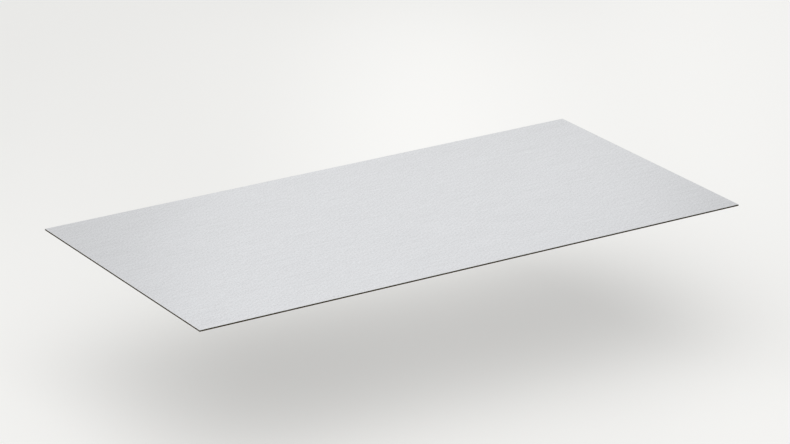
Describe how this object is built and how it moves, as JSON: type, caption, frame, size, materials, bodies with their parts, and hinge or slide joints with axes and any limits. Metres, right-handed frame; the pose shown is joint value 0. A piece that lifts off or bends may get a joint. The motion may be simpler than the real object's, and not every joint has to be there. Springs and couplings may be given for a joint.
{
  "type": "spc wall panel",
  "caption": "Thin flat rectangular wall panel: a rigid dark stone and plastic core with a pale grey satin decor film on its face, glued flat to a wall.",
  "frame": {"origin": "middle of the back face, which is the face that lies on the floor or is glued to the wall", "axes": "+X along the sheet's length, +Y across its width, +Z out of the decor face"},
  "size_m": [2.44, 1.22, 0.006],
  "materials": {
    "spc_core": "matte",
    "decor_film": "satin"
  },
  "bodies": {
    "root": {"core_board": "spc_core", "decor_film": "decor_film"}
  },
  "joints": []
}
